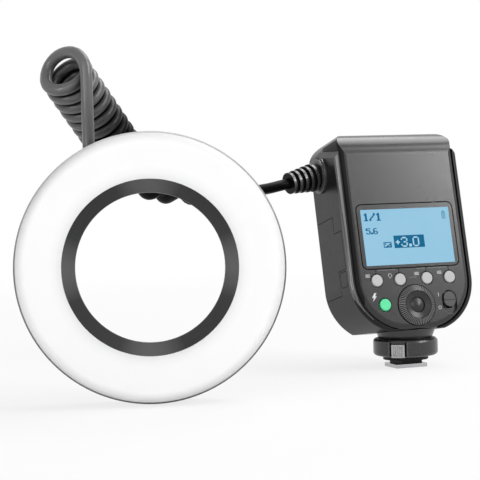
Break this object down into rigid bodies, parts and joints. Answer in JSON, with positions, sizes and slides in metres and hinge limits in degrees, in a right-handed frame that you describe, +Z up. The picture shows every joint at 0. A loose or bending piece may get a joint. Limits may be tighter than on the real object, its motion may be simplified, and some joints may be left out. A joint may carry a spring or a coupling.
{
  "type": "macro ring flash",
  "caption": "Macro ring flash: a ring light with a white diffuser, joined by a curly cord to a controller with a display, dial, buttons and side battery on a foot for a camera's shoe.",
  "frame": {"origin": "centre of the underside of the controller's shoe foot, on the plane the foot and the ring stand on", "axes": "+Z up, away from the shoe; -Y is the side of the display and dial; +X is to the right seen from there"},
  "size_m": [0.2638, 0.1428, 0.1724],
  "materials": {
    "diffuser_white": "satin, translucent",
    "ring_black": "fine matt",
    "body_black": "fine matt",
    "cover_black": "fine texture",
    "reflector": "bright",
    "tube_glass": "clear",
    "clip": "satin",
    "lamp": "satin",
    "circuit_board": "satin",
    "winding": "satin",
    "steel": "satin",
    "foot_metal": "satin",
    "gold": "polished",
    "cord_rubber": "satin",
    "dial_rubber": "matt",
    "display_window": "clear",
    "display_blue": "backlit",
    "button_grey": "satin",
    "button_green": "backlit satin",
    "window_red": "dark clear",
    "capacitor_case": "sleeved"
  },
  "bodies": {
    "flash_unit": {"ring_rear_shell": "ring_black", "ring_diffuser": "diffuser_white", "ring_bezel": "ring_black", "ring_reflector": "reflector", "flash_tube_left": "tube_glass", "flash_tube_right": "tube_glass", "tube_clips": "clip", "modelling_lamps": "lamp", "ring_board": "circuit_board", "trigger_transformer": "winding", "ring_screws": "steel", "latch_spring_left": "steel", "latch_spring_right": "steel", "cord_outlet": "ring_black", "ring_boot": "cord_rubber", "cord_tail": "cord_rubber", "cord_coil": "cord_rubber", "cord_lead": "cord_rubber", "controller_boot": "cord_rubber", "rear_shell": "body_black", "front_shell": "body_black", "side_cover_left": "cover_black", "side_cover_right": "cover_black", "lcd_window": "display_window", "lcd_module": "display_blue", "main_board": "circuit_board", "board_switches": "clip", "dial_encoder": "body_black", "flash_capacitor": "capacitor_case", "battery_bay": "body_black", "battery_contacts": "gold", "front_window": "window_red", "usb_socket": "steel", "neck": "body_black", "foot_base": "body_black", "hot_shoe_foot": "foot_metal", "shoe_contacts": "gold", "foot_screws": "steel"},
    "function_button_1": {"function_button_1": "button_grey"},
    "function_button_2": {"function_button_2": "button_grey"},
    "function_button_3": {"function_button_3": "button_grey"},
    "function_button_4": {"function_button_4": "button_grey"},
    "test_button": {"test_button": "button_green"},
    "control_dial": {"control_dial": "dial_rubber"},
    "set_button": {"set_button": "dial_rubber"},
    "power_switch": {"power_switch": "body_black"},
    "battery_pack": {"battery_pack": "cover_black"},
    "battery_latch": {"battery_latch": "cover_black"},
    "lock_collar": {"lock_collar": "cover_black"},
    "lock_release_button": {"lock_release_button": "button_grey"},
    "lock_pin": {"lock_pin": "steel"},
    "adapter_latch_left": {"adapter_latch_left": "ring_black"},
    "adapter_latch_right": {"adapter_latch_right": "ring_black"},
    "port_cover": {"port_cover": "cover_black"}
  },
  "joints": [
    {"name": "function_button_1_press", "type": "slide", "parent": "flash_unit", "child": "function_button_1", "axis": [0, 0.9744, -0.225], "range_m": [0, 0.0008], "stiffness_N_per_m": 400},
    {"name": "function_button_2_press", "type": "slide", "parent": "flash_unit", "child": "function_button_2", "axis": [0, 0.9744, -0.225], "range_m": [0, 0.0008], "stiffness_N_per_m": 400},
    {"name": "function_button_3_press", "type": "slide", "parent": "flash_unit", "child": "function_button_3", "axis": [0, 0.9744, -0.225], "range_m": [0, 0.0008], "stiffness_N_per_m": 400},
    {"name": "function_button_4_press", "type": "slide", "parent": "flash_unit", "child": "function_button_4", "axis": [0, 0.9744, -0.225], "range_m": [0, 0.0008], "stiffness_N_per_m": 400},
    {"name": "test_button_press", "type": "slide", "parent": "flash_unit", "child": "test_button", "axis": [0, 0.9744, -0.225], "range_m": [0, 0.0008], "stiffness_N_per_m": 400},
    {"name": "control_dial_turn", "type": "hinge", "parent": "flash_unit", "child": "control_dial", "pos_m": [0, -0.01494, 0.03443], "axis": [0, 0.9744, -0.225], "continuous": true},
    {"name": "set_button_press", "type": "slide", "parent": "control_dial", "child": "set_button", "axis": [0, 0.9744, -0.225], "range_m": [0, 0.0008], "stiffness_N_per_m": 400},
    {"name": "power_switch_slide", "type": "slide", "parent": "flash_unit", "child": "power_switch", "axis": [0, -0.225, -0.9744], "range_m": [0, 0.003]},
    {"name": "battery_pack_slide", "type": "slide", "parent": "flash_unit", "child": "battery_pack", "axis": [-1, 0, 0], "range_m": [0, 0.058]},
    {"name": "battery_latch_press", "type": "slide", "parent": "flash_unit", "child": "battery_latch", "axis": [1, 0, 0], "range_m": [0, 0.0015], "stiffness_N_per_m": 500},
    {"name": "lock_collar_turn", "type": "hinge", "parent": "flash_unit", "child": "lock_collar", "pos_m": [0, 0, 0.011], "axis": [0, 0, 1], "range_deg": [0, 80]},
    {"name": "lock_release_press", "type": "slide", "parent": "lock_collar", "child": "lock_release_button", "axis": [0.6428, 0.766, 0], "range_m": [0, 0.001], "stiffness_N_per_m": 500},
    {"name": "lock_pin_slide", "type": "slide", "parent": "flash_unit", "child": "lock_pin", "axis": [0, 0, -1], "range_m": [0, 0.0015]},
    {"name": "adapter_latch_left_slide", "type": "slide", "parent": "flash_unit", "child": "adapter_latch_left", "axis": [-0.9558, 0.294, 0], "range_m": [0, 0.0025], "stiffness_N_per_m": 500, "deforming": ["latch_spring_left"]},
    {"name": "adapter_latch_right_slide", "type": "slide", "parent": "flash_unit", "child": "adapter_latch_right", "axis": [0.9558, -0.294, 0], "range_m": [0, 0.0025], "stiffness_N_per_m": 500, "deforming": ["latch_spring_right"]},
    {"name": "port_cover_hinge", "type": "hinge", "parent": "flash_unit", "child": "port_cover", "pos_m": [0.0359, 0.01437, 0.07333], "axis": [0, -0.9744, 0.225], "range_deg": [0, 95]}
  ],
  "couplings": [
    {"joint": "lock_pin_slide", "follows": "lock_collar_turn", "m_per_rad": 0.001074}
  ]
}
